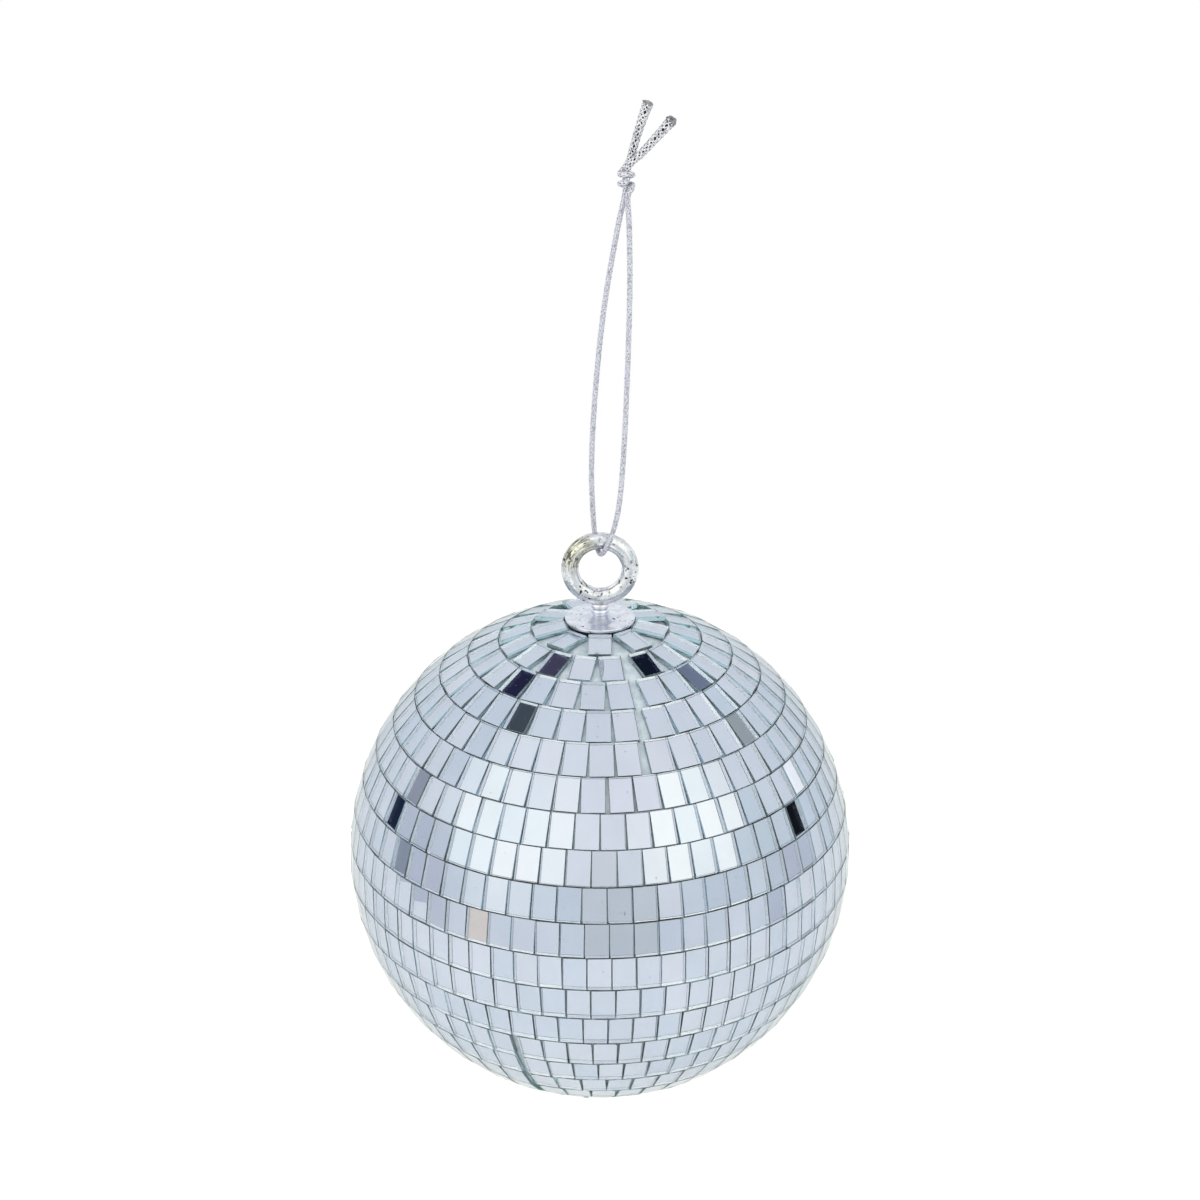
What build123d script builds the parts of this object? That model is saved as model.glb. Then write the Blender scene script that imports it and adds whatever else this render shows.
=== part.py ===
"""Mirror ball that hangs from a ring and a knotted cord.

Millimetres, +Z up. The origin is the hook point: the inside of the loop's top, just under the knot.
The ball's axis is vertical and lies a little to the -X side of the hook point, as the slack cord leans.
"""

import os
from math import atan, cos, degrees, floor, hypot, pi, radians, sin, tan

from build123d import *

# Ball
BALL_RADIUS = 75.0  # to the middle of the mirror tiles' outer faces
HOOK_HEIGHT = 199.5  # from the ball's centre up to the hook point
LEAN = 7.1  # from the ball's axis across to the hook point
GLASS_THICKNESS = 1.4
TILE_WIDTH = 6.6
TILE_HEIGHT = 9.9
TILE_GAP = 0.12  # between tiles at their closest corners
ADHESIVE_THICKNESS = 0.5
GLUE_LINE = 0.05
CORE_WALL = 2.4
LAP_HEIGHT = 3.0
LAP_FIT = 0.05

# Rows of tiles, as degrees of latitude and azimuth. Azimuth 0 faces -Y and grows towards +X.
ROW_COUNT = 21
ROW_PITCH = 7.75
FIRST_ROW_TOP = 82.3
SEAM_GAP = 1.6  # mm left where a strip closes on itself
# Where each strip's ends meet, in runs from the top row down: rows, azimuth of the first, drift per row
SEAM_RUNS = ((1, 180, 0), (4, 20, -2), (1, 2, 0), (7, 180, -2), (4, -20, 0), (4, 180, -2))
BOTTOM_SIDES = 6  # the bottom pole is closed by one hexagonal tile and a tile along each of its sides
BOTTOM_FLATS = 9.6
BOTTOM_TILE_WIDTH = 5.2

# Top cap, its sleeve and its lock nut
CAP_BASE = 74.75  # heights are above the ball's centre
CAP_THICKNESS = 1.15
CAP_RADIUS = 10.2
CAP_EDGE_ROUND = 0.35
BOSS_FOOT_RADIUS = 5.8
BOSS_FLARE = (0.38, 0.42)  # shares of the boss's width and height where its curve is halfway
COLLAR_RADIUS = 2.8
COLLAR_WAIST = 2.3
LOWER_COLLAR = (77.2, 78.8)
UPPER_COLLAR = (78.86, 80.5)
SLEEVE_RADIUS = 3.5
SLEEVE_BORE = 1.56
SLEEVE_END = 61.5
THREAD_FIT = 0.03
WASHER_FIT = 0.1
LOCK_NUT_FLATS = 11.0
LOCK_NUT_HEIGHT = 3.2
NUT_ROUND = 1.12  # a nut's corner diameter over its width across flats
CAP_WASHER_RADIUS = 9.0
WASHER_THICKNESS = 1.2

# Ring and stem
RING_RADIUS = 8.7  # to the middle of the bar
RING_BAR = 2.5
RING_HEIGHT = 91.0
STEM_RADIUS = 1.5
STEM_END = 55.5
STEM_WASHER_RADIUS = 4.0
STEM_WASHER_THICKNESS = 0.8
STEM_NUT_FLATS = 5.5
STEM_NUT_HEIGHT = 2.4
STEM_NUT_GAP = 0.02
END_PLAY = 0.06

# Cord
CORD = 1.5
BIGHT = 3.6  # from the bar's middle to the cord's middle, where the cord turns under the bar
BIGHT_FRONT = 3.9  # the same in front, where the cord has to pass inside the ring as it swings up
BEND_SHARE = 0.45  # how much of the shorter run a rounded corner of the cord may use
KNOT_RADIUS = 2.4
KNOT_BOTTOM = 203.2
KNOT_HEIGHT = 6.2
KNOT_ROUND = 0.8
STRAND_SIDE = 0.78  # from the knot's middle to the middle of each strand that enters it

CENTRE = Vector(-LEAN, 0, -HOOK_HEIGHT)
CORE_OUTER = BALL_RADIUS - GLASS_THICKNESS - GLUE_LINE - ADHESIVE_THICKNESS - GLUE_LINE
CORE_INNER = CORE_OUTER - CORE_WALL
ADHESIVE_INNER = CORE_OUTER + GLUE_LINE
ADHESIVE_OUTER = ADHESIVE_INNER + ADHESIVE_THICKNESS
BAR_HEIGHT = RING_HEIGHT + RING_RADIUS


def at(x, y, height):
    """A place given from the ball's axis and centre, in the part's own frame."""
    return Vector(x, y, height) + CENTRE


def axis_cylinder(radius, low, high):
    """An upright cylinder on the ball's axis, between two heights."""
    return Pos(at(0, 0, (low + high) / 2)) * Cylinder(radius, high - low)


def axis_ring(inner, outer, low, high):
    return axis_cylinder(outer, low, high) - axis_cylinder(inner, low - 1, high + 1)


def hex_nut(flats, bore, low, high):
    """A hexagon nut with its corners turned round, on the ball's axis."""
    blank = extrude(RegularPolygon(flats / 2, 6, major_radius=False), high - low)
    nut = Pos(at(0, 0, low)) * blank
    corner_cut = axis_cylinder(flats / 2 * NUT_ROUND, low, high)
    return (nut & corner_cut) - axis_cylinder(bore, low - 1, high + 1)


def row_latitude(row):
    """Latitude of a row's middle, in degrees."""
    return FIRST_ROW_TOP - (row + 0.5) * ROW_PITCH


def row_circles(latitude, height):
    """Radii of the circles that a row's inner edges touch, at its polar side and at its equator side."""
    inner_face = BALL_RADIUS - GLASS_THICKNESS
    lean = abs(radians(latitude))
    return [inner_face * cos(lean) + side * height / 2 * sin(lean) for side in (-1, 1)]


def corner_reach(radius, width):
    """How far a flat tile's corners reach past the circle that the middle of its edge touches."""
    return hypot(radius, width / 2) - radius


def tile_place(latitude, azimuth):
    """The middle of a tile's outer face: Z of the place points out, Y towards the upper pole."""
    lat, turn = radians(latitude), radians(azimuth)
    outward = Vector(cos(lat) * sin(turn), -cos(lat) * cos(turn), sin(lat))
    along_row = Vector(cos(turn), sin(turn), 0)
    return Plane(CENTRE + outward * BALL_RADIUS, x_dir=along_row, z_dir=outward)


def tile(latitude, azimuth, width, height):
    block = Box(width, height, GLASS_THICKNESS, align=(Align.CENTER, Align.CENTER, Align.MAX))
    return tile_place(latitude, azimuth) * block


def seam_azimuths():
    """The azimuth where each strip's ends meet, from the top row down."""
    return [first + drift * i for rows, first, drift in SEAM_RUNS for i in range(rows)]


def tile_row(row):
    """One strip of tiles: evenly spaced from its seam, with what is left over kept at the seam."""
    latitude = row_latitude(row)
    closest, widest = row_circles(latitude, TILE_HEIGHT)
    height = TILE_HEIGHT - corner_reach(widest, TILE_WIDTH)
    tightest = 2 * degrees(atan((TILE_WIDTH + TILE_GAP) / 2 / closest))
    count = floor(360 / tightest)
    seam = min(degrees(SEAM_GAP / closest), 360 - count * tightest)
    pitch = (360 - seam) / count
    first = seam_azimuths()[row] + seam / 2 + pitch / 2
    return [tile(latitude, first + i * pitch, TILE_WIDTH, height) for i in range(count)]


def bottom_tiles():
    """A hexagonal tile at the bottom pole, and a narrow tile along each of its sides."""
    last_edge = FIRST_ROW_TOP - ROW_COUNT * ROW_PITCH
    room = radians(last_edge + 90) * BALL_RADIUS
    reach = BOTTOM_FLATS / 2 + 3 * TILE_GAP
    height = room - reach - corner_reach(room, BOTTOM_TILE_WIDTH) - TILE_GAP
    latitude = -90 + degrees((reach + height / 2) / BALL_RADIUS)
    step = 360 / BOTTOM_SIDES
    places = [(i + 0.5) * step for i in range(BOTTOM_SIDES)]
    ring = [tile(latitude, azimuth, BOTTOM_TILE_WIDTH, height) for azimuth in places]
    hexagon = RegularPolygon(BOTTOM_FLATS / 2, BOTTOM_SIDES, major_radius=False)
    middle = Pos(at(0, 0, -BALL_RADIUS)) * extrude(hexagon, GLASS_THICKNESS)
    return [middle] + ring


def half_shell(inner, outer, upper, bore):
    """Half of a hollow ball, with a bore through the pole of the upper half."""
    side = Align.MIN if upper else Align.MAX
    keep = Pos(CENTRE) * Box(4 * outer, 4 * outer, 2 * outer, align=(Align.CENTER, Align.CENTER, side))
    shell = Pos(CENTRE) * (Sphere(outer) - Sphere(inner))
    shell = shell & keep
    if upper:
        shell = shell - axis_cylinder(bore, inner / 2, outer + 1)
    return shell


def core_halves():
    """Two shells. The lower one's lip stands inside the upper one's rebate."""
    lip = CORE_INNER + CORE_WALL / 2
    upper = half_shell(CORE_INNER, CORE_OUTER, True, SLEEVE_RADIUS + LAP_FIT)
    lower = half_shell(CORE_INNER, CORE_OUTER - LAP_FIT, False, 0)
    upper = upper - axis_cylinder(lip + LAP_FIT, -1, LAP_HEIGHT + LAP_FIT)
    upper = upper - axis_cylinder(CORE_OUTER + 1, -1, LAP_FIT)
    lower = lower + axis_ring(CORE_INNER - CORE_WALL / 2, lip - LAP_FIT, -LAP_HEIGHT, LAP_HEIGHT)
    return upper, lower


def adhesive(upper):
    """The coat of adhesive on one half, open at the top under the cap."""
    return half_shell(ADHESIVE_INNER, ADHESIVE_OUTER, upper, CAP_RADIUS - 1)


def collar(low, high, bore):
    """A turned bead: widest in the middle, with a waist at each end."""
    middle = (low + high) / 2
    outline = Line((bore, low), (COLLAR_WAIST, low))
    outline += ThreePointArc((COLLAR_WAIST, low), (COLLAR_RADIUS, middle), (COLLAR_WAIST, high))
    outline += Polyline((COLLAR_WAIST, high), (bore, high), (bore, low))
    face = make_face(Plane.XZ * outline)
    return Pos(CENTRE) * revolve(face, Axis.Z)


def top_cap():
    """Disc, flared boss and lower collar, and the sleeve that goes down through the core."""
    top = CAP_BASE + CAP_THICKNESS
    disc = axis_cylinder(CAP_RADIUS, CAP_BASE, top)
    rims = [edge for edge in disc.edges() if edge.geom_type == GeomType.CIRCLE]
    disc = fillet(rims, CAP_EDGE_ROUND)
    neck = (COLLAR_WAIST, LOWER_COLLAR[0])
    foot = (BOSS_FOOT_RADIUS, top)
    inside = top - CAP_EDGE_ROUND
    halfway_out = COLLAR_WAIST + BOSS_FLARE[0] * (BOSS_FOOT_RADIUS - COLLAR_WAIST)
    halfway_up = top + BOSS_FLARE[1] * (neck[1] - top)
    flare = Polyline(neck, (0, neck[1]), (0, inside), (BOSS_FOOT_RADIUS, inside), foot)
    flare += ThreePointArc(foot, (halfway_out, halfway_up), neck)
    boss = Pos(CENTRE) * revolve(make_face(Plane.XZ * flare), Axis.Z)
    bead = collar(*LOWER_COLLAR, 0)
    sleeve = axis_cylinder(SLEEVE_RADIUS, SLEEVE_END, CAP_BASE + CAP_THICKNESS / 2)
    cap = disc + boss + bead + sleeve
    return cap - axis_cylinder(SLEEVE_BORE, SLEEVE_END - 1, LOWER_COLLAR[1] + 1)


def cap_fixings():
    """Washer and lock nut that pull the cap's sleeve up against the inside of the core."""
    flat_at = (CORE_INNER**2 - CAP_WASHER_RADIUS**2) ** 0.5
    washer_top = flat_at - GLUE_LINE
    washer_low = washer_top - WASHER_THICKNESS
    washer = axis_ring(SLEEVE_RADIUS + WASHER_FIT, CAP_WASHER_RADIUS, washer_low, washer_top)
    nut_top = washer_low - GLUE_LINE
    nut = hex_nut(LOCK_NUT_FLATS, SLEEVE_RADIUS + THREAD_FIT, nut_top - LOCK_NUT_HEIGHT, nut_top)
    return washer, nut


def ring_eye():
    """Ring, upper collar and stem in one piece. The ring stands in the XZ plane."""
    ring = Pos(at(0, 0, RING_HEIGHT)) * Rot(90, 0, 0) * Torus(RING_RADIUS, RING_BAR)
    bead = collar(*UPPER_COLLAR, 0)
    stem = axis_cylinder(STEM_RADIUS, STEM_END, (UPPER_COLLAR[0] + UPPER_COLLAR[1]) / 2)
    return ring + bead + stem


def stem_fixings():
    """Washer and nut on the stem, just below the sleeve's end, so that the ring turns but can't leave."""
    washer_top = SLEEVE_END - END_PLAY
    washer_low = washer_top - STEM_WASHER_THICKNESS
    washer = axis_ring(STEM_RADIUS + THREAD_FIT, STEM_WASHER_RADIUS, washer_low, washer_top)
    nut_top = washer_low - STEM_NUT_GAP
    nut = hex_nut(STEM_NUT_FLATS, STEM_RADIUS + THREAD_FIT, nut_top - STEM_NUT_HEIGHT, nut_top)
    return washer, nut


def cord_tube(name, points, tight=()):
    """A round tube along straight runs and tangent arcs. tight gives the radius at chosen corners."""
    runs = [(b - a).length for a, b in zip(points, points[1:])]
    radii = []
    for i in range(1, len(points) - 1):
        turn = radians((points[i] - points[i - 1]).get_angle(points[i + 1] - points[i]))
        widest = BEND_SHARE * min(runs[i - 1], runs[i]) / tan(turn / 2)
        radii.append(dict(tight).get(i, widest))
    path = FilletPolyline(*points, radius=radii)
    start = Plane(points[0], z_dir=points[1] - points[0])
    tube = sweep(start * Circle(CORD / 2), path=path)
    expected = pi * CORD**2 / 4 * path.length
    print(name, "length", round(path.length, 1), "radii", [round(r, 1) for r in radii])
    print(name, "volume", round(tube.volume, 1), "expected", round(expected, 1))
    return tube, path.length


def loop_points():
    """The loop's route: down behind the bar, under it, and up in front of it."""
    turn = BAR_HEIGHT - BIGHT
    top = KNOT_BOTTOM
    side = LEAN - STRAND_SIDE
    other = LEAN + STRAND_SIDE
    places = [
        (side, 0, top),
        (5.0, 0.2, 193.5),
        (0.9, 0.8, 168.7),
        (-1.5, 1.7, 143.0),
        (-2.5, 2.6, 123.0),
        (-2.3, 3.7, 110.5),
        (-0.9, BIGHT, turn),
        (1.0, -BIGHT_FRONT, turn),
        (4.0, -4.5, 108.0),
        (6.3, -3.0, 124.0),
        (7.6, -1.7, 148.0),
        (8.3, -0.6, 173.0),
        (other + 0.1, -0.1, 193.0),
        (other, 0, top),
    ]
    return [at(*place) for place in places]


def end_points(side):
    """A cut end's route above the knot, bending over to +X."""
    top = KNOT_BOTTOM + KNOT_HEIGHT
    if side < 0:
        places = [(0, 0, 0), (0.6, 0.3, 4.6), (2.4, 0.7, 10.2), (6.3, 0.9, 16.9)]
    else:
        places = [(0, 0, 0), (1.6, -0.4, 4.2), (5.3, -0.8, 8.4), (11.3, -1.0, 11.4)]
    return [at(LEAN + side * STRAND_SIDE + x, y, top + z) for x, y, z in places]


def cord_knot():
    """The knot's outer shape, with flat ends where the strands enter and leave."""
    low = KNOT_BOTTOM
    lump = Pos(at(LEAN, 0, low + KNOT_HEIGHT / 2)) * Cylinder(KNOT_RADIUS, KNOT_HEIGHT)
    rims = [edge for edge in lump.edges() if edge.geom_type == GeomType.CIRCLE]
    return fillet(rims, KNOT_ROUND)


def write(name, shape, colour):
    """Writes one node. A group of separate pieces goes out as one compound."""
    node = Compound(children=shape) if isinstance(shape, list) else shape
    node.label = name
    node.color = Color(*colour)
    export_step(node, f"parts/{name}.step")


CHROME = (0.82, 0.83, 0.85)
MIRROR = (0.78, 0.83, 0.87)
CORD_SILVER = (0.72, 0.73, 0.75)
PLASTIC = (0.25, 0.25, 0.27)
GLUE = (0.85, 0.86, 0.82)
ZINC = (0.6, 0.62, 0.64)


def main():
    os.makedirs("parts", exist_ok=True)
    loop, loop_length = cord_tube("cord_loop", loop_points(), {6: BIGHT - 0.1, 7: BIGHT - 0.1})
    left, left_length = cord_tube("cord_end_left", end_points(-1))
    right, right_length = cord_tube("cord_end_right", end_points(1))
    print("cord shown, without the knot's turns", round(loop_length + left_length + right_length, 1))
    write("cord_loop", loop, CORD_SILVER)
    write("cord_end_left", left, CORD_SILVER)
    write("cord_end_right", right, CORD_SILVER)
    write("cord_knot", cord_knot(), CORD_SILVER)

    write("ring_eye", ring_eye(), CHROME)
    stem_washer, stem_nut = stem_fixings()
    write("stem_washer", stem_washer, ZINC)
    write("stem_nut", stem_nut, ZINC)

    write("top_cap", top_cap(), CHROME)
    cap_washer, cap_lock_nut = cap_fixings()
    write("cap_washer", cap_washer, ZINC)
    write("cap_lock_nut", cap_lock_nut, ZINC)

    upper, lower = core_halves()
    write("core_upper", upper, PLASTIC)
    write("core_lower", lower, PLASTIC)
    write("adhesive_upper", adhesive(True), GLUE)
    write("adhesive_lower", adhesive(False), GLUE)

    total = 0
    for row in range(ROW_COUNT):
        strip = tile_row(row)
        total += len(strip)
        write(f"tile_row_{row + 1:02d}", strip, MIRROR)
    write("bottom_tiles", bottom_tiles(), MIRROR)
    print("tiles", total + BOTTOM_SIDES + 1)


main()
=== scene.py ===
"""Looks of the mirror ball: silvered glass tiles in strips, a plated ring and cap, and a braided cord."""

import math
import random

import bmesh
import bpy
from mathutils import Matrix, Vector, noise


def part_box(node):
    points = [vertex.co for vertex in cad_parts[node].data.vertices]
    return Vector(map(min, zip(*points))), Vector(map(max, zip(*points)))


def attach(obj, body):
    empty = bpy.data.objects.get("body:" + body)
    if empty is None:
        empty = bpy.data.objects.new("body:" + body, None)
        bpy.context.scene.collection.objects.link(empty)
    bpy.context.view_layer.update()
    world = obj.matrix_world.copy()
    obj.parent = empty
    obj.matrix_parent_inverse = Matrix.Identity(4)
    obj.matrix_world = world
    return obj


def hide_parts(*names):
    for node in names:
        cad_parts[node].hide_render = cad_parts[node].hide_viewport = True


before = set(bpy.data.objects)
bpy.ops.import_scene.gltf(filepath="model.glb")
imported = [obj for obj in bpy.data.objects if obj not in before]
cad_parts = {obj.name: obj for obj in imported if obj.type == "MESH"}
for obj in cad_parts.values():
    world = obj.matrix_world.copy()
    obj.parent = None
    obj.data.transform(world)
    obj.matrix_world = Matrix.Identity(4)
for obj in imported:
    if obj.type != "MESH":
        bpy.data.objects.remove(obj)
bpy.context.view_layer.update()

MM = 0.001
random.seed(20)
noise.seed_set(20)


# Places that everything else is worked out from

def middle(node):
    low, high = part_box(node)
    return (Vector(low) + Vector(high)) / 2


BALL = Vector((middle("adhesive_lower").x, middle("adhesive_lower").y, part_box("adhesive_lower")[1][2]))
BALL_RADIUS = 75.0  # millimetres, to the middle of the tiles' outer faces
CAP_LOW, CAP_HIGH = (Vector(corner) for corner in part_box("top_cap"))
RING_LOW, RING_HIGH = (Vector(corner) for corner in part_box("ring_eye"))
KNOT = middle("cord_knot")
TILE_NODES = [f"tile_row_{i:02d}" for i in range(1, 22)] + ["bottom_tiles"]


def above_ball(x, y, height):
    """A place in millimetres from the ball's axis and centre, in metres in the frame."""
    return BALL + Vector((x, y, height)) * MM


# Camera

CAMERA_DISTANCE = 10.15  # in ball radii
CAMERA_ELEVATION = math.radians(29.2)
CAMERA_PITCH = math.radians(23.6)
CAMERA_PLACE = above_ball(
    0,
    -BALL_RADIUS * CAMERA_DISTANCE * math.cos(CAMERA_ELEVATION),
    BALL_RADIUS * CAMERA_DISTANCE * math.sin(CAMERA_ELEVATION),
)
LENS = 75.0


def add_camera():
    camera = bpy.data.objects.new("camera", bpy.data.cameras.new("camera"))
    bpy.context.scene.collection.objects.link(camera)
    camera.data.lens = LENS
    camera.data.sensor_width = 36.0
    camera.data.clip_start = 0.01
    camera.location = CAMERA_PLACE
    camera.rotation_euler = (math.pi / 2 - CAMERA_PITCH, 0, 0)
    bpy.context.scene.camera = camera


# Small helpers for node trees

class Tree:
    """A node tree that is written as nested calls: each call returns the new node's first output."""

    def __init__(self, tree):
        self.nodes, self.links = tree.nodes, tree.links

    def node(self, kind, inputs=(), **settings):
        made = self.nodes.new(kind)
        for key, value in settings.items():
            setattr(made, key, value)
        for key, value in dict(inputs).items():
            self.feed(made.inputs[key], value)
        return made

    def feed(self, socket, value):
        if isinstance(value, bpy.types.NodeSocket):
            self.links.new(value, socket)
        else:
            socket.default_value = value

    def math(self, operation, a, b=0.0, clamp=False):
        return self.node("ShaderNodeMath", {0: a, 1: b}, operation=operation, use_clamp=clamp).outputs[0]

    def vector_math(self, operation, a, b):
        return self.node("ShaderNodeVectorMath", {0: a, 1: b}, operation=operation)

    def remap(self, value, low, high, to_low=0.0, to_high=1.0, smooth=False):
        kind = "SMOOTHSTEP" if smooth else "LINEAR"
        inputs = {"Value": value, "From Min": low, "From Max": high, "To Min": to_low, "To Max": to_high}
        return self.node("ShaderNodeMapRange", inputs, interpolation_type=kind).outputs[0]

    def mix(self, share, a, b, blend="MIX"):
        made = self.node("ShaderNodeMix", data_type="RGBA", blend_type=blend)
        for index, value in ((0, share), (6, a), (7, b)):
            self.feed(made.inputs[index], value)
        return made.outputs[2]

    def noise(self, vector, scale, detail=2.0, roughness=0.5):
        inputs = {"Vector": vector, "Scale": scale, "Detail": detail, "Roughness": roughness}
        return self.node("ShaderNodeTexNoise", inputs).outputs["Fac"]

    def bump(self, height, distance, strength=1.0):
        inputs = {"Height": height, "Distance": distance, "Strength": strength}
        return self.node("ShaderNodeBump", inputs).outputs[0]


def rgb(red, green, blue):
    return (red, green, blue, 1.0)


def new_material(name):
    made = bpy.data.materials.new(name)
    made.use_nodes = True
    tree = Tree(made.node_tree)
    shader = made.node_tree.nodes["Principled BSDF"]
    where = tree.node("ShaderNodeTexCoord").outputs["Object"]
    return made, tree, shader, where


# Studio: an even white room with soft boxes, seen mostly as reflections

FLOOR_DROP = 0.32  # below the ball's centre
FLOOR_RADIUS = 1.05


def direction(azimuth, elevation):
    """Azimuth 0 points to -Y and grows towards +X, in degrees."""
    turn, rise = math.radians(azimuth), math.radians(elevation)
    return Vector((math.sin(turn) * math.cos(rise), -math.cos(turn) * math.cos(rise), math.sin(rise)))


# Each area of the room is where a tile shows it to the camera: the tile's row, its place in the row counted
# from the front (left is negative), radius in degrees where the area is full, radius where it ends, tone
SOFT_BOXES = [
    (7, -4, 19, 40, rgb(1.47, 1.49, 1.34)),
    (7, 4, 15, 35, rgb(1.54, 1.55, 1.36)),
    (5, -2, 6, 22, rgb(1.18, 1.19, 1.14)),
    (5, 2, 6, 22, rgb(1.10, 1.10, 1.06)),
    (6, 1, 9, 22, rgb(1.16, 1.16, 1.13)),
    (7, 10, 4, 9, rgb(1.45, 1.42, 1.33)),
]
GREY_AREAS = [
    (9, 5, 7, 17, rgb(0.83, 0.91, 0.91)),
    (8, 8, 8, 19, rgb(0.93, 1.01, 0.98)),
    (10, 9, 8, 22, rgb(0.76, 0.79, 0.84)),
    (9, -9, 9, 24, rgb(0.76, 0.79, 0.84)),
    (8, 1, 7, 13, rgb(0.96, 0.99, 0.95)),
    (9, 1, 9, 15, rgb(0.85, 0.90, 0.86)),
    (10, 1, 13, 20, rgb(0.85, 0.89, 0.86)),
    (10, -6, 2, 4, rgb(1.06, 0.95, 0.80)),
]
DARK_FLAGS = [
    (2, -2, 4, 6, rgb(0.09, 0.08, 0.13)),
    (2, 2, 4, 6, rgb(0.01, 0.015, 0.03)),
    (3, -4, 4, 6, rgb(0.03, 0.03, 0.07)),
    (3, 4, 3, 6, rgb(0.26, 0.30, 0.38)),
    (4, -4, 4, 6, rgb(0.09, 0.11, 0.12)),
    (5, 7, 3, 6, rgb(0.50, 0.54, 0.52)),
    (7, -9, 2, 5, rgb(0.46, 0.48, 0.52)),
    (8, -10, 3, 4, rgb(0.02, 0.03, 0.06)),
    (8, 10, 3, 4, rgb(0.01, 0.012, 0.015)),
    (9, -10, 3, 5, rgb(0.42, 0.46, 0.50)),
]


def shown_by_tile(row, place):
    """The direction in the room that the camera sees in a tile, by the mirror law."""
    row_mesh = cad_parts[f"tile_row_{row:02d}"].data
    centres = [sum(corners, Vector()) / len(corners) for corners in islands(row_mesh)]
    side = math.copysign(1, place)
    front = [c for c in centres if c.y < BALL.y and (c.x - BALL.x) * side > 0]
    front.sort(key=lambda c: (c.x - BALL.x) * side)
    centre = front[abs(place) - 1]
    out = (centre - BALL).normalized()
    look = (centre - CAMERA_PLACE).normalized()
    return look - 2 * look.dot(out) * out


def add_world():
    world = bpy.data.worlds.new("studio")
    world.use_nodes = True
    bpy.context.scene.world = world
    tree = Tree(world.node_tree)
    look = tree.node("ShaderNodeTexCoord").outputs["Generated"]
    patches = tree.noise(look, 3.2, 3.0)
    colour = tree.mix(tree.remap(patches, 0.35, 0.65), rgb(0.94, 1.00, 1.00), rgb(1.08, 1.09, 1.06))
    for row, place, inner, outer, tone in SOFT_BOXES + GREY_AREAS + DARK_FLAGS:
        nearness = tree.vector_math("DOT_PRODUCT", look, shown_by_tile(row, place)).outputs["Value"]
        edges = math.cos(math.radians(outer)), math.cos(math.radians(inner))
        colour = tree.mix(tree.remap(nearness, *edges, smooth=True), colour, tone)
    seen_directly = tree.node("ShaderNodeLightPath").outputs["Is Camera Ray"]
    background = world.node_tree.nodes["Background"]
    tree.feed(background.inputs["Color"], tree.mix(seen_directly, colour, rgb(1.0, 1.0, 1.0)))
    background.inputs["Strength"].default_value = 1.0


def add_light(name, azimuth, elevation, distance, size, power):
    light = bpy.data.lights.new(name, "AREA")
    light.shape = "DISK"
    light.size = size
    light.energy = power
    lamp = bpy.data.objects.new(name, light)
    bpy.context.scene.collection.objects.link(lamp)
    lamp.location = BALL + direction(azimuth, elevation) * distance
    lamp.rotation_euler = (BALL - lamp.location).to_track_quat("-Z", "Y").to_euler()
    lamp.visible_glossy = False
    lamp.visible_transmission = False


def add_floor():
    mesh = bpy.data.meshes.new("floor")
    bm = bmesh.new()
    bmesh.ops.create_circle(bm, cap_ends=True, radius=FLOOR_RADIUS, segments=96)
    bm.to_mesh(mesh)
    bm.free()
    floor = bpy.data.objects.new("floor", mesh)
    bpy.context.scene.collection.objects.link(floor)
    floor.location = BALL - Vector((0, 0, FLOOR_DROP))
    made, tree, shader, where = new_material("floor_paper")
    grain = tree.noise(where, 400.0, 3.0)
    paper = tree.mix(grain, rgb(0.955, 0.955, 0.955), rgb(0.975, 0.975, 0.975))
    tree.feed(shader.inputs["Base Color"], paper)
    shader.inputs["Roughness"].default_value = 0.9
    shader.inputs["Specular IOR Level"].default_value = 0.1
    mesh.materials.append(made)


# Materials

def glass_material(name, tint, clearness, roughness, bump):
    """Clear green-tinged sheet glass. It is darker and greener the longer the light's way in it."""
    made, tree, shader, where = new_material(name)
    shader.inputs["Base Color"].default_value = tint
    shader.inputs["Transmission Weight"].default_value = clearness
    shader.inputs["IOR"].default_value = 1.52
    shader.inputs["Roughness"].default_value = roughness
    if bump:
        scratches = tree.noise(where, 900.0, 3.0, 0.6)
        tree.feed(shader.inputs["Normal"], tree.bump(scratches, 0.00006, bump))
        wear = tree.remap(tree.noise(where, 300.0), 0.3, 0.7, roughness / 2, roughness * 2)
        tree.feed(shader.inputs["Roughness"], wear)
    depth = tree.node("ShaderNodeVolumeAbsorption", {"Color": rgb(0.60, 0.88, 0.87), "Density": 125.0})
    output = made.node_tree.nodes["Material Output"]
    tree.links.new(depth.outputs[0], output.inputs["Volume"])
    return made


def silver_material():
    """The silvering under the glass: each tile has its own faint tone, and it has failed in a few specks."""
    made, tree, shader, where = new_material("silvering")
    one_tile = tree.node("ShaderNodeNewGeometry").outputs["Random Per Island"]
    tone = tree.mix(one_tile, rgb(0.589, 0.591, 0.720), rgb(0.661, 0.632, 0.748))
    cloud = tree.remap(tree.noise(where, 60.0, 3.0), 0.35, 0.65, 0.97, 1.03)
    tone = tree.mix(1.0, tone, cloud, "MULTIPLY")
    specks = tree.remap(tree.noise(where, 1500.0, 1.0), 0.76, 0.80)
    tree.feed(shader.inputs["Base Color"], tree.mix(specks, tone, rgb(0.25, 0.26, 0.27)))
    tree.feed(shader.inputs["Roughness"], tree.math("MULTIPLY", specks, 0.4))
    shader.inputs["Metallic"].default_value = 1.0
    return made


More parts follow.
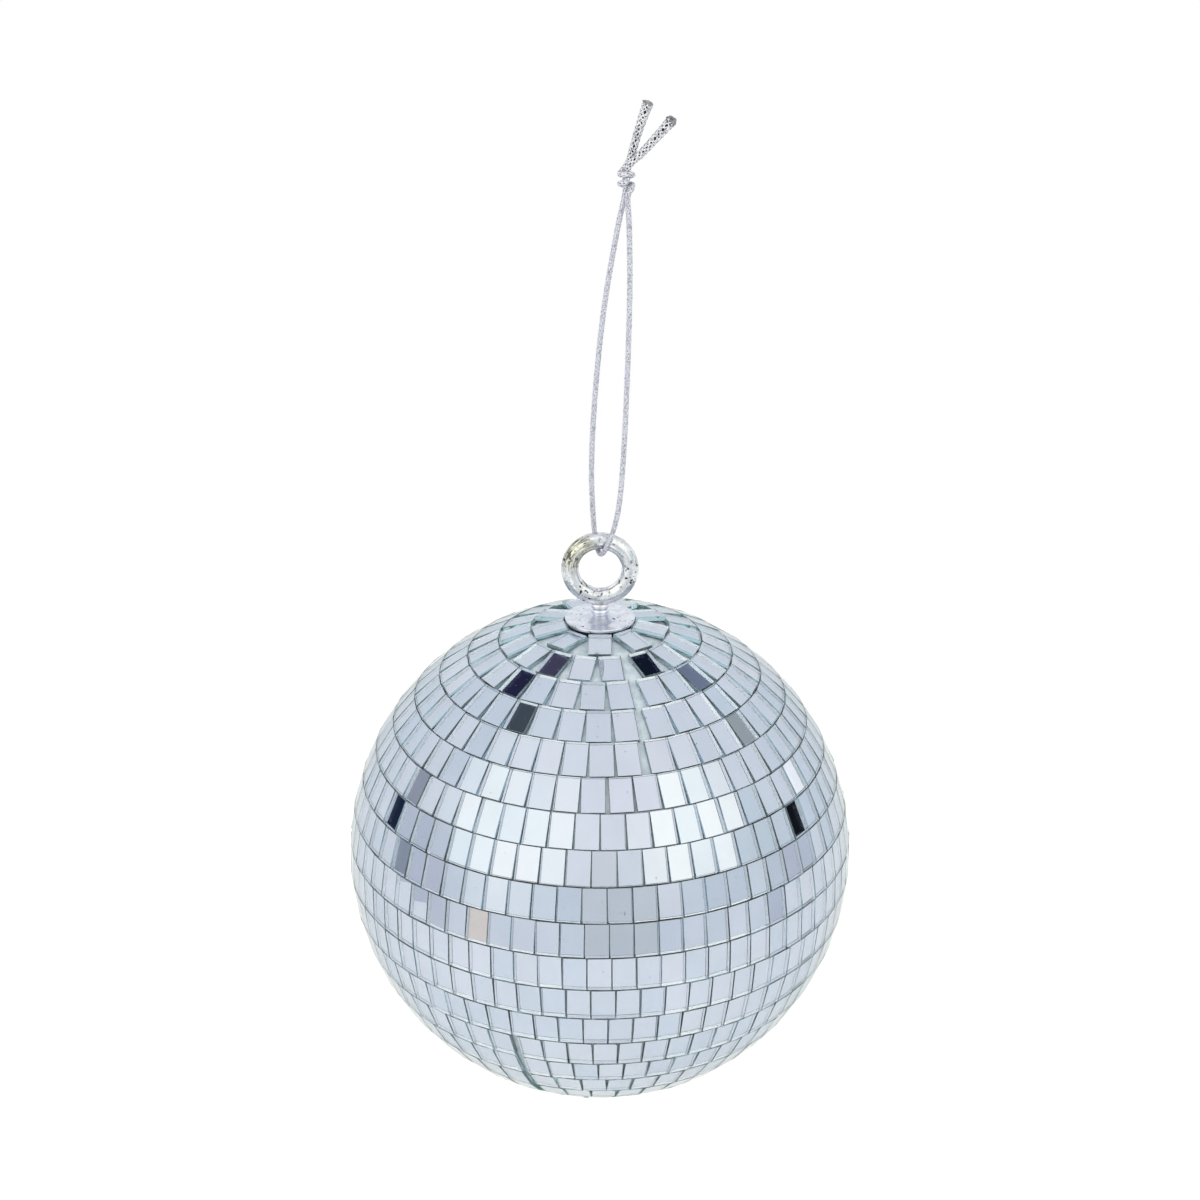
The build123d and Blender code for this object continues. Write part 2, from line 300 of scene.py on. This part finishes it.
def plating_material(name, tone, warm_spot=None):
    """Bright plating over a moulded part: dull in places, with small dark pits and, on the ring, streaks and
    painted highlight bands.
    """
    made, tree, shader, where = new_material(name)
    dull = tree.remap(tree.noise(where, 380.0, 5.0, 0.65), 0.42, 0.62)
    pitted_area = tree.remap(tree.noise(where, 130.0, 1.0), 0.45, 0.62)
    rare = 0.63 if warm_spot else 0.70
    pits = tree.remap(tree.noise(where, 1050.0, 1.0, 0.3), rare, rare + 0.03)
    dark = tree.math("MULTIPLY", pits, pitted_area)
    if warm_spot:
        # On the ring, lighter bands that run round the bar are painted highlights in the plating's colour.
        round_ring = tree.vector_math("MULTIPLY", tree.node("ShaderNodeUVMap").outputs[0], (4.0, 11.0, 1.0))
        painted_highlight_bands = tree.remap(tree.noise(round_ring.outputs[0], 1.0, 2.0), 0.35, 0.65)
        tone = tree.mix(painted_highlight_bands, tone, rgb(0.84, 0.85, 0.88))
        away = tree.vector_math("DISTANCE", where, warm_spot).outputs["Value"]
        near = tree.remap(away, 3.0 * MM, 7.5 * MM, 1.0, 0.0, smooth=True)
        tone = tree.mix(tree.math("MULTIPLY", near, 0.85), tone, rgb(0.80, 0.77, 0.62))
        lines = tree.vector_math("MULTIPLY", tree.node("ShaderNodeUVMap").outputs[0], (9.0, 26.0, 1.0))
        ridge = tree.math("ABSOLUTE", tree.math("SUBTRACT", tree.noise(lines.outputs[0], 1.0, 1.0), 0.5))
        streaks = tree.math("MULTIPLY", tree.remap(ridge, 0.02, 0.05, 1.0, 0.0), near)
        dark = tree.math("MAXIMUM", dark, tree.math("MULTIPLY", streaks, 0.9))
    tone = tree.mix(tree.math("MULTIPLY", dull, 0.45), tone, rgb(0.47, 0.48, 0.53))
    tree.feed(shader.inputs["Base Color"], tree.mix(dark, tone, rgb(0.02, 0.02, 0.02)))
    shader.inputs["Metallic"].default_value = 1.0
    worn = tree.remap(dull, 0.0, 1.0, 0.07 if warm_spot else 0.18, 0.28)
    tree.feed(shader.inputs["Roughness"], tree.math("ADD", worn, tree.math("MULTIPLY", dark, 0.4), True))
    waves = tree.noise(where, 330.0, 3.0, 0.6)
    height = tree.math("SUBTRACT", waves, tree.math("MULTIPLY", dark, 0.8))
    tree.feed(shader.inputs["Normal"], tree.bump(height, 0.00025 if warm_spot else 0.00010))
    return made


def yarn_material():
    """Metallic film yarn: bright, fine lines along each strand, and glints painted into its colour as
    lighter patches.
    """
    made, tree, shader, where = new_material("metallic_yarn")
    painted_glints = tree.noise(where, 2600.0, 2.0, 0.7)
    height = tree.node("ShaderNodeSeparateXYZ", {0: where}).outputs[2]
    loose = tree.remap(height, KNOT.z - 1.5 * MM, KNOT.z + 3.0 * MM)
    dark_tone = tree.mix(loose, rgb(0.56, 0.56, 0.66), rgb(0.68, 0.68, 0.76))
    light_tone = tree.mix(loose, rgb(0.90, 0.90, 0.98), rgb(0.98, 0.97, 1.0))
    # Painted glints: where the noise is high, the colour is lifted from the dark tone to the light tone.
    tone = tree.mix(tree.remap(painted_glints, 0.35, 0.7), dark_tone, light_tone)
    flecks = tree.remap(tree.noise(where, 1200.0, 1.0), 0.56, 0.62)
    fleck_strength = tree.remap(loose, 0.0, 1.0, 0.35, 0.55)
    fleck_share = tree.math("MULTIPLY", flecks, fleck_strength)
    tree.feed(shader.inputs["Base Color"], tree.mix(fleck_share, tone, rgb(0.10, 0.10, 0.13)))
    shader.inputs["Metallic"].default_value = 0.6
    tree.feed(shader.inputs["Roughness"], tree.remap(painted_glints, 0.3, 0.7, 0.22, 0.42))
    lines = tree.noise(tree.vector_math("MULTIPLY", where, (3.0, 3.0, 0.5)).outputs[0], 2600.0, 2.0)
    tree.feed(shader.inputs["Normal"], tree.bump(lines, 0.00005))
    return made


def plain_material(name, dark, light, scale, roughness, metallic=0.0, bump=0.00004):
    """A solid material with a fine mottled tone and surface."""
    made, tree, shader, where = new_material(name)
    mottle = tree.noise(where, scale, 4.0, 0.6)
    tree.feed(shader.inputs["Base Color"], tree.mix(tree.remap(mottle, 0.3, 0.7), dark, light))
    dullest = min(1.0, roughness * 1.2)
    tree.feed(shader.inputs["Roughness"], tree.remap(mottle, 0.3, 0.7, roughness * 0.8, dullest))
    shader.inputs["Metallic"].default_value = metallic
    tree.feed(shader.inputs["Normal"], tree.bump(tree.noise(where, scale * 6, 3.0), bump))
    return made


def link_object(name, mesh, body, nodes=()):
    piece = bpy.data.objects.new(name, mesh)
    bpy.context.scene.collection.objects.link(piece)
    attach(piece, body)
    if nodes:
        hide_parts(*nodes)
    return piece


# Mirror tiles

ARRIS = 0.06 * MM
SAME_CORNER = 0.3 * MM
CORNER_ERROR = 0.04 * MM
KEYSTONE = 0.55  # how much of the wedge between neighbours the cut of the tiles takes up
CHIPPED_SHARE = 0.05
CHIP = 0.7 * MM
WEDGED_FROM = 28 * MM  # nearer to the poles than this, the wedges are too wide to take up
TILT_SPREAD = math.radians(0.45)
TURN_SPREAD = math.radians(0.35)
LOOSE_ROWS = {"tile_row_01": 4.0, "tile_row_02": 1.6, "tile_row_03": 1.2}
LIFT = {"tile_row_01": 0.4 * MM}
LEAN = {"tile_row_01": math.radians(8)}


def islands(mesh):
    """The separate tiles of a CAD row, each as the places of its corners."""
    bm = bmesh.new()
    bm.from_mesh(mesh)
    bmesh.ops.remove_doubles(bm, verts=bm.verts, dist=1e-6)
    seen = set()
    found = []
    for start in bm.verts:
        if start in seen:
            continue
        seen.add(start)
        group, waiting = [], [start]
        while waiting:
            vert = waiting.pop()
            group.append(vert.co.copy())
            for edge in vert.link_edges:
                other = edge.other_vert(vert)
                if other not in seen:
                    seen.add(other)
                    waiting.append(other)
        found.append(group)
    bm.free()
    return found


def hull(places):
    """Convex outline of flat points, anticlockwise. Points closer than a cut corner count as one."""
    points = []
    for x, y in sorted(places):
        if all(math.hypot(x - a, y - b) > SAME_CORNER for a, b in points):
            points.append((x, y))

    def half(run):
        kept = []
        for p in run:
            while len(kept) > 1 and turn(kept[-2], kept[-1], p) <= 1e-10:
                kept.pop()
            kept.append(p)
        return kept[:-1]

    def turn(a, b, c):
        return (b[0] - a[0]) * (c[1] - a[1]) - (b[1] - a[1]) * (c[0] - a[0])

    return [Vector(p) for p in half(points) + half(points[::-1])]


def inset(outline, distance):
    """The outline moved in by a distance, each corner along its bisector."""
    moved = []
    for i, corner in enumerate(outline):
        back = (outline[i - 1] - corner).normalized()
        ahead = (outline[(i + 1) % len(outline)] - corner).normalized()
        bisector = (back + ahead).normalized()
        half_angle = back.angle(ahead) / 2
        moved.append(corner + bisector * distance / math.sin(half_angle))
    return moved


def chipped(outline):
    """The outline with one corner broken off."""
    i = random.randrange(len(outline))
    corner = outline[i]
    reach = [CHIP * random.uniform(0.4, 1.0) for _ in range(2)]
    before = corner + (outline[i - 1] - corner).normalized() * reach[0]
    after = corner + (outline[(i + 1) % len(outline)] - corner).normalized() * reach[1]
    return outline[:i] + [before, after] + outline[i + 1:]


def add_tile(bm, corners, looseness, lift, lean):
    """A cut glass slab in the CAD tile's place, a little out of true, with silvering on its inner face."""
    centre = sum(corners, Vector()) / len(corners)
    out = (centre - BALL).normalized()
    along = Vector((0, 0, 1)).cross(out)
    along = along.normalized() if along.length > 0.01 else Vector((1, 0, 0))
    up = out.cross(along)
    heights = [(corner - centre).dot(out) for corner in corners]
    thickness = max(heights) - min(heights)
    outline = hull([((corner - centre).dot(along), (corner - centre).dot(up)) for corner in corners])
    from_axis = math.hypot(centre.x - BALL.x, centre.y - BALL.y)
    if from_axis > WEDGED_FROM:
        towards_equator = -math.copysign(1, out.z)
        widening = KEYSTONE * abs(out.z) / from_axis
        outline = [Vector((p.x * (1 + widening * max(0, p.y * towards_equator)), p.y)) for p in outline]
    outline = [p + Vector((random.gauss(0, 1), random.gauss(0, 1))) * CORNER_ERROR for p in outline]
    if random.random() < CHIPPED_SHARE:
        outline = chipped(outline)
    tilt = TILT_SPREAD * looseness
    place = (
        Matrix.Translation(centre + out * (thickness / 2 + lift))
        @ Matrix((along, up, out)).transposed().to_4x4()
        @ Matrix.Rotation(random.gauss(0, tilt) - lean * random.random(), 4, "X")
        @ Matrix.Rotation(random.gauss(0, tilt), 4, "Y")
        @ Matrix.Rotation(random.gauss(0, TURN_SPREAD * looseness), 4, "Z")
    )
    arris = ARRIS * random.uniform(0.7, 1.5)
    rings = [
        [bm.verts.new(place @ Vector((p.x, p.y, height))) for p in shape]
        for shape, height in ((outline, -thickness), (outline, -arris), (inset(outline, arris), 0))
    ]
    silver = bm.faces.new(rings[0][::-1])
    silver.material_index = 2
    bm.faces.new(rings[2]).material_index = 0
    for lower, upper in zip(rings, rings[1:]):
        for i in range(len(outline)):
            j = (i + 1) % len(outline)
            bm.faces.new((lower[i], lower[j], upper[j], upper[i])).material_index = 1


def build_tiles(materials):
    for node in TILE_NODES:
        bm = bmesh.new()
        for corners in islands(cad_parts[node].data):
            add_tile(bm, corners, LOOSE_ROWS.get(node, 1.0), LIFT.get(node, 0.0), LEAN.get(node, 0.0))
        mesh = bpy.data.meshes.new(f"{node}_glass")
        bm.to_mesh(mesh)
        bm.free()
        for material in materials:
            mesh.materials.append(material)
        link_object(f"{node}_glass", mesh, "ball", [node])


# Turned and moulded metalwork

def lathe(profile, segments, centre):
    """A closed solid turned about the ball's axis from a profile of (radius, height) in millimetres."""
    bm = bmesh.new()
    rings = []
    for radius, height in profile:
        if radius < 1e-6:
            rings.append([bm.verts.new(centre + Vector((0, 0, height)) * MM)])
            continue
        ring = []
        for i in range(segments):
            turn = 2 * math.pi * i / segments
            place = Vector((radius * math.cos(turn), radius * math.sin(turn), height))
            ring.append(bm.verts.new(centre + place * MM))
        rings.append(ring)
    for lower, upper in zip(rings, rings[1:] + rings[:1]):
        for i in range(segments):
            j = (i + 1) % segments
            if len(lower) == 1 and len(upper) == 1:
                continue
            if len(lower) == 1:
                bm.faces.new((lower[0], upper[j], upper[i]))
            elif len(upper) == 1:
                bm.faces.new((lower[i], lower[j], upper[0]))
            else:
                bm.faces.new((lower[i], lower[j], upper[j], upper[i]))
    return bm


def arc(centre, radius, start, end, steps):
    """Points of an arc in a lathe profile, in degrees from the outward direction."""
    turns = [math.radians(start + (end - start) * i / steps) for i in range(steps + 1)]
    return [(centre[0] + radius * math.cos(t), centre[1] + radius * math.sin(t)) for t in turns]


BEAD_FULLNESS = 0.7  # below 1, a bead is fuller than a half circle


def bead(waist, reach, low, high, steps=14):
    """A collar's rounded profile between two heights."""
    points = []
    for i in range(steps + 1):
        share = i / steps
        bulge = math.sin(math.pi * share) ** BEAD_FULLNESS
        points.append((waist + (reach - waist) * bulge, low + (high - low) * share))
    return points


def roughen(bm, size, amount):
    """Moves each point a little, so that moulded metal isn't perfectly true."""
    for vert in bm.verts:
        vert.co += noise.noise_vector(vert.co / size) * amount


def smooth_mesh(name, bm, material):
    mesh = bpy.data.meshes.new(name)
    bmesh.ops.recalc_face_normals(bm, faces=bm.faces)
    bm.to_mesh(mesh)
    bm.free()
    mesh.polygons.foreach_set("use_smooth", [True] * len(mesh.polygons))
    mesh.materials.append(material)
    return mesh


# Metalwork in millimetres: radii from the ball's axis, heights above the ball's centre
CAP_BASE = 74.75
CAP_FACE = 75.9
CAP_EDGE_ROUND = 0.34
CAP_DISH = [(1.0, 0.06), (2.4, 0.10)]  # how far in from the rim, and how far below the face
BOSS_FLARE = 1.3
BOSS_STEPS = 12
BOSS_SKIRT = (0.8, 0.06)  # how far out from the boss's foot, and how far below the face
COLLAR = 2.8
WAIST = 2.25
LOWER_COLLAR = 77.2
UPPER_COLLAR = (78.86, 80.5)
COLLAR_CROWN = 0.3
RING_BAR = 2.5
RING_STEPS = (256, 64)  # round the ring, and round its bar
BAR_OUT_OF_ROUND = 0.012
BAR_UNEVEN = 0.01
BOSS_FOOT = 5.8
SLEEVE = 3.5
BORE = 1.56
STEM = 1.5


def build_cap(plating):
    """Disc with a rolled edge, flared boss and lower collar, and the sleeve below."""
    foot = (CAP_LOW.z - BALL.z) / MM
    top = (CAP_HIGH.z - BALL.z) / MM
    rim = (CAP_HIGH.x - CAP_LOW.x) / 2 / MM
    edge = CAP_EDGE_ROUND
    profile = [(SLEEVE, foot), (SLEEVE, CAP_BASE), (rim - edge, CAP_BASE)]
    profile += arc((rim - edge, CAP_BASE + edge), edge, -90, 0, 6)[1:]
    profile += arc((rim - edge, CAP_FACE - edge), edge, 0, 90, 6)
    profile += [(rim - inward, CAP_FACE - drop) for inward, drop in CAP_DISH]
    profile.append((BOSS_FOOT + BOSS_SKIRT[0], CAP_FACE - BOSS_SKIRT[1]))
    for i in range(BOSS_STEPS + 1):
        share = i / BOSS_STEPS
        radius = WAIST + (BOSS_FOOT - WAIST) * (1 - share) ** BOSS_FLARE
        profile.append((radius, CAP_FACE + (LOWER_COLLAR - CAP_FACE) * share))
    profile += bead(WAIST, COLLAR, LOWER_COLLAR, top)[1:]
    profile += [(BORE, top), (BORE, foot)]
    bm = lathe(profile, 160, BALL)
    roughen(bm, 2.5 * MM, 0.02 * MM)
    mesh = smooth_mesh("cap_disc_and_boss", bm, plating)
    link_object("cap_disc_and_boss", mesh, "ball", ["top_cap"])


def build_ring(plating):
    """The ring, its collar and the stem, with the faint flat of a moulding line round the ring."""
    bar = RING_BAR
    outer = (RING_HIGH.x - RING_LOW.x) / 2 / MM
    ring_middle = (RING_HIGH.z - BALL.z) / MM - outer
    collar_low, collar_high = UPPER_COLLAR
    stem_end = (RING_LOW.z - BALL.z) / MM
    profile = [(0, stem_end), (STEM, stem_end), (STEM, collar_low)]
    profile += bead(WAIST, COLLAR, collar_low, collar_high) + [(0, collar_high + COLLAR_CROWN)]
    bm = lathe(profile, 96, BALL)
    around, across = RING_STEPS
    round_ring = bm.loops.layers.uv.new("round_ring")
    loops = []
    for i in range(around):
        turn = 2 * math.pi * i / around + math.pi
        outward = Vector((math.sin(turn), 0, math.cos(turn)))
        loop = []
        for k in range(across):
            side = 2 * math.pi * k / across + math.pi / 2
            swell = 1 + BAR_OUT_OF_ROUND * math.cos(2 * side) + BAR_UNEVEN * math.sin(3 * turn + 1)
            offset = outward * math.cos(side) * bar * swell
            offset += Vector((0, 1, 0)) * math.sin(side) * bar * swell
            place = outward * (outer - bar) + offset
            loop.append(bm.verts.new(above_ball(0, 0, ring_middle) + place * MM))
        loops.append(loop)
    for i in range(around):
        ahead = loops[(i + 1) % around]
        for k in range(across):
            m = (k + 1) % across
            face = bm.faces.new((loops[i][k], loops[i][m], ahead[m], ahead[k]))
            corners = ((i, k), (i, k + 1), (i + 1, k + 1), (i + 1, k))
            for loop, (u, v) in zip(face.loops, corners):
                loop[round_ring].uv = (u / around, v / across)
    roughen(bm, 2.2 * MM, 0.05 * MM)
    mesh = smooth_mesh("plated_ring", bm, plating)
    link_object("plated_ring", mesh, "hanging_ring", ["ring_eye"])


# Cord

CORD_NODES = ["cord_loop", "cord_knot", "cord_end_left", "cord_end_right"]
CARRIERS = 6  # strands that wind each way round
LAY_LENGTH = 9.5 * MM
BRAID_RADIUS = 0.62 * MM
OVER_UNDER = 0.08 * MM
STRAND_HALF_WIDTH = 0.24 * MM
STRAND_HALF_DEPTH = 0.10 * MM
THINNER_WHERE_OPEN = 0.18
WANDER_LENGTH = 1.3 * MM
WANDER = 0.10
WANDER_WHERE_OPEN = 0.45
BRAID_STEP = 0.23 * MM
CORE_RADIUS = BRAID_RADIUS * 0.72
CORE_SIDES = 10
CORE_EVERY = 3  # the core is smooth, so it uses one braid step in three

# The route's points, in millimetres from the ball's axis and centre.
# Each strand makes one turn round the other inside the knot: the left one above, the right one below.
LEFT_END = [(12.8, 1.0, 225.6), (10.5, 0.8, 219.0), (9.0, 0.6, 213.6), (7.9, 0.8, 210.0)]
LEFT_TURN = [
    (6.9, 1.4, 208.3), (5.7, 1.6, 207.0), (5.2, 0.0, 206.4), (6.2, -1.6, 206.8), (8.0, -1.6, 207.0),
    (9.0, 0.0, 206.3), (8.6, 1.7, 205.8), (6.7, 1.9, 205.2), (6.9, 0.1, 203.7), (6.9, 0.2, 201.9),
]
LOOP = [
    (6.4, 0.3, 198.8), (5.0, 0.2, 193.0), (0.9, 0.8, 168.7), (-1.5, 1.7, 143.0), (-2.5, 2.7, 123.0),
    (-2.3, 4.2, 110.5), (-1.3, 4.4, 96.0), (0.8, -4.6, 96.0), (5.1, -4.9, 108.0), (6.6, -3.1, 124.0),
    (7.6, -1.7, 148.0), (8.3, -0.6, 173.0), (8.0, -0.5, 193.0), (7.5, -1.0, 199.0),
]
RIGHT_TURN = [
    (7.5, -1.6, 201.4), (8.5, -1.6, 202.7), (9.0, 0.0, 203.7), (8.0, 1.6, 203.4), (6.2, 1.6, 203.2),
    (5.2, 0.0, 203.9), (5.6, -1.7, 204.4), (7.5, -1.9, 204.9), (7.4, -0.1, 206.5), (7.5, -0.2, 208.4),
]
RIGHT_END = [(8.9, -0.7, 210.4), (11.2, -0.7, 212.3), (14.6, -0.9, 216.2), (19.2, -1.1, 221.4)]


def route_curve():
    """The cord's route from its left end through the knot, round the ring and back to its right end."""
    places = LEFT_END + LEFT_TURN + LOOP + RIGHT_TURN + RIGHT_END
    curve = bpy.data.curves.new("cord_route", "CURVE")
    curve.dimensions = "3D"
    curve.resolution_u = 24
    spline = curve.splines.new("NURBS")
    spline.points.add(len(places) - 1)
    for point, place in zip(spline.points, places):
        point.co = (*above_ball(*place), 1.0)
    spline.order_u = 3
    spline.use_endpoint_u = True
    return curve


def curve_points(curve):
    """Points along the route's own spline."""
    holder = bpy.data.objects.new("cord_route", curve)
    bpy.context.scene.collection.objects.link(holder)
    depsgraph = bpy.context.evaluated_depsgraph_get()
    line = bpy.data.meshes.new_from_object(holder.evaluated_get(depsgraph))
    points = [vert.co.copy() for vert in line.vertices]
    bpy.data.objects.remove(holder)
    bpy.data.meshes.remove(line)
    return points


def even_frames(points, step):
    """Evenly spaced places along a line, each with two directions across it that never twist."""
    ways = [0.0]
    for a, b in zip(points, points[1:]):
        ways.append(ways[-1] + (b - a).length)
    total = ways[-1]
    count = int(total / step)
    spaced, k = [], 0
    for i in range(count + 1):
        want = total * i / count
        while k < len(ways) - 2 and ways[k + 1] < want:
            k += 1
        share = (want - ways[k]) / max(ways[k + 1] - ways[k], 1e-12)
        spaced.append(points[k].lerp(points[k + 1], share))
    frames = []
    side = Vector((0, 1, 0))
    for i, place in enumerate(spaced):
        ahead = (spaced[min(i + 1, count)] - spaced[max(i - 1, 0)]).normalized()
        side = (side - ahead * side.dot(ahead)).normalized()
        frames.append((total * i / count, place, ahead, side, ahead.cross(side)))
    return frames, total


FLARE_LENGTH = 19 * MM
FLARE = 1.35  # how much wider the braid gets at a cut end
FLARE_EARLY, FLARE_LATE = 0.45, 0.55  # shares of the flare: soon after the knot, and close to the cut


def flare(way, total):
    """How far the braid opens at a place along the cord: tight all along, and loose at its cut ends."""
    from_end = min(way, total - way)
    share = max(0.0, 1 - from_end / FLARE_LENGTH)
    return 1 + FLARE * (FLARE_EARLY * min(1, 3 * share) + FLARE_LATE * share ** 3)


STRAND_SECTION = [(-1.0, 0.0), (-0.55, 0.95), (0.0, 0.35), (0.55, 0.95), (1.0, 0.0), (0.0, -0.7)]


def braid_mesh(frames, total, materials):
    bm = bmesh.new()
    for way_round in (1, -1):
        for carrier in range(CARRIERS):
            previous = None
            first = None
            for way, place, ahead, side, other in frames:
                opening = flare(way, total)
                turn = way_round * (2 * math.pi * way / LAY_LENGTH) + 2 * math.pi * carrier / CARRIERS
                wander = noise.noise(Vector((way / WANDER_LENGTH, carrier * 7.0, way_round * 3.0)))
                turn += (WANDER + WANDER_WHERE_OPEN * (opening - 1)) * wander
                lift = way_round * OVER_UNDER * math.cos(2 * math.pi * CARRIERS * way / LAY_LENGTH)
                outward = side * math.cos(turn) + other * math.sin(turn)
                round_way = other * math.cos(turn) - side * math.sin(turn)
                radius = BRAID_RADIUS * opening + lift
                run = (ahead * LAY_LENGTH / (2 * math.pi) + round_way * way_round * radius).normalized()
                across = run.cross(outward)
                spread = STRAND_HALF_WIDTH * (1 - THINNER_WHERE_OPEN * (opening - 1))
                ring = []
                for u, v in STRAND_SECTION:
                    offset = across * u * spread + outward * (radius + v * STRAND_HALF_DEPTH)
                    ring.append(bm.verts.new(place + offset))
                if previous:
                    for i in range(len(ring)):
                        j = (i + 1) % len(ring)
                        bm.faces.new((previous[i], previous[j], ring[j], ring[i]))
                else:
                    first = ring
                previous = ring
            bm.faces.new(first[::-1])
            bm.faces.new(previous)
    previous = None
    for way, place, ahead, side, other in frames[::CORE_EVERY]:
        ring = []
        for k in range(CORE_SIDES):
            turn = 2 * math.pi * k / CORE_SIDES
            outward = side * math.cos(turn) + other * math.sin(turn)
            ring.append(bm.verts.new(place + outward * CORE_RADIUS))
        if previous:
            for k in range(CORE_SIDES):
                m = (k + 1) % CORE_SIDES
                bm.faces.new((previous[k], previous[m], ring[m], ring[k])).material_index = 1
        else:
            bm.faces.new(ring[::-1]).material_index = 1
        previous = ring
    bm.faces.new(previous).material_index = 1
    mesh = smooth_mesh("cord_braid", bm, materials[0])
    mesh.materials.append(materials[1])
    return mesh


TIP_RADII = (1.6, 1.45)  # millimetres


def melted_tip(name, place, ahead, height, material):
    """The sealed crown on a cut end: lumps of melted yarn that spread over the braid."""
    bm = bmesh.new()
    bmesh.ops.create_icosphere(bm, subdivisions=5, radius=1.0)
    turn = ahead.to_track_quat("Z", "Y").to_matrix().to_4x4()
    stretch = Matrix.Diagonal((*TIP_RADII, height, 1.0))
    for vert in bm.verts:
        lumps = 1 + 0.35 * noise.noise(vert.co * 1.7 + place * 900) + 0.14 * noise.noise(vert.co * 5)
        vert.co = vert.co * lumps
    to_place = Matrix.Translation(place) @ turn @ stretch @ Matrix.Scale(MM, 4)
    bmesh.ops.transform(bm, matrix=to_place, verts=bm.verts)
    return link_object(name, smooth_mesh(name, bm, material), "cord")


def build_cord(yarn, core, melt):
    points = curve_points(route_curve())
    frames, total = even_frames(points, BRAID_STEP)
    mesh = braid_mesh(frames, total, [yarn, core])
    braid = link_object("cord_braid", mesh, "cord", CORD_NODES)
    tips = [
        melted_tip("cord_tip_left", frames[0][1], -frames[0][2], 0.6, melt),
        melted_tip("cord_tip_right", frames[-1][1], frames[-1][2], 1.0, melt),
    ]


def finish_nodes(inner):
    """Materials for the CAD nodes that stay."""
    for name, material in inner.items():
        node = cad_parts[name]
        node.data.materials.clear()
        node.data.materials.append(material)


def main():
    bpy.context.scene.view_settings.view_transform = "Standard"
    add_camera()
    add_world()
    add_light("key", -35, 55, 1.3, 0.7, 1.85)
    add_light("fill", 40, 35, 1.5, 0.8, 1.0)
    add_floor()

    yarn = yarn_material()
    core = plain_material("cord_core", rgb(0.01, 0.01, 0.015), rgb(0.05, 0.05, 0.06), 900.0, 0.6)
    melt = plain_material("melted_end", rgb(0.05, 0.045, 0.06), rgb(0.42, 0.41, 0.45), 700.0, 0.35, 0.4)
    build_cord(yarn, core, melt)

    face = glass_material("tile_glass", rgb(1, 1, 1), 1.0, 0.0, 0.0)
    edge = glass_material("cut_glass_edge", rgb(0.84, 0.96, 0.98), 0.86, 0.05, 0.25)
    build_tiles([face, edge, silver_material()])
    build_cap(plating_material("cap_plating", rgb(0.71, 0.73, 0.83)))
    build_ring(plating_material("ring_plating", rgb(0.58, 0.585, 0.65), above_ball(-6.5, -2.0, 96.5)))

    glue = plain_material("adhesive_coat", rgb(0.42, 0.50, 0.57), rgb(0.65, 0.72, 0.79), 400.0, 0.5)
    shell = plain_material("moulded_shell", rgb(0.05, 0.05, 0.055), rgb(0.09, 0.09, 0.10), 300.0, 0.5)
    zinc = plain_material("zinc_plate", rgb(0.52, 0.53, 0.55), rgb(0.68, 0.69, 0.70), 500.0, 0.35, 1.0)
    finish_nodes({
        "adhesive_upper": glue,
        "adhesive_lower": glue,
        "core_upper": shell,
        "core_lower": shell,
        "cap_washer": zinc,
        "cap_lock_nut": zinc,
        "stem_washer": zinc,
        "stem_nut": zinc,
    })


main()
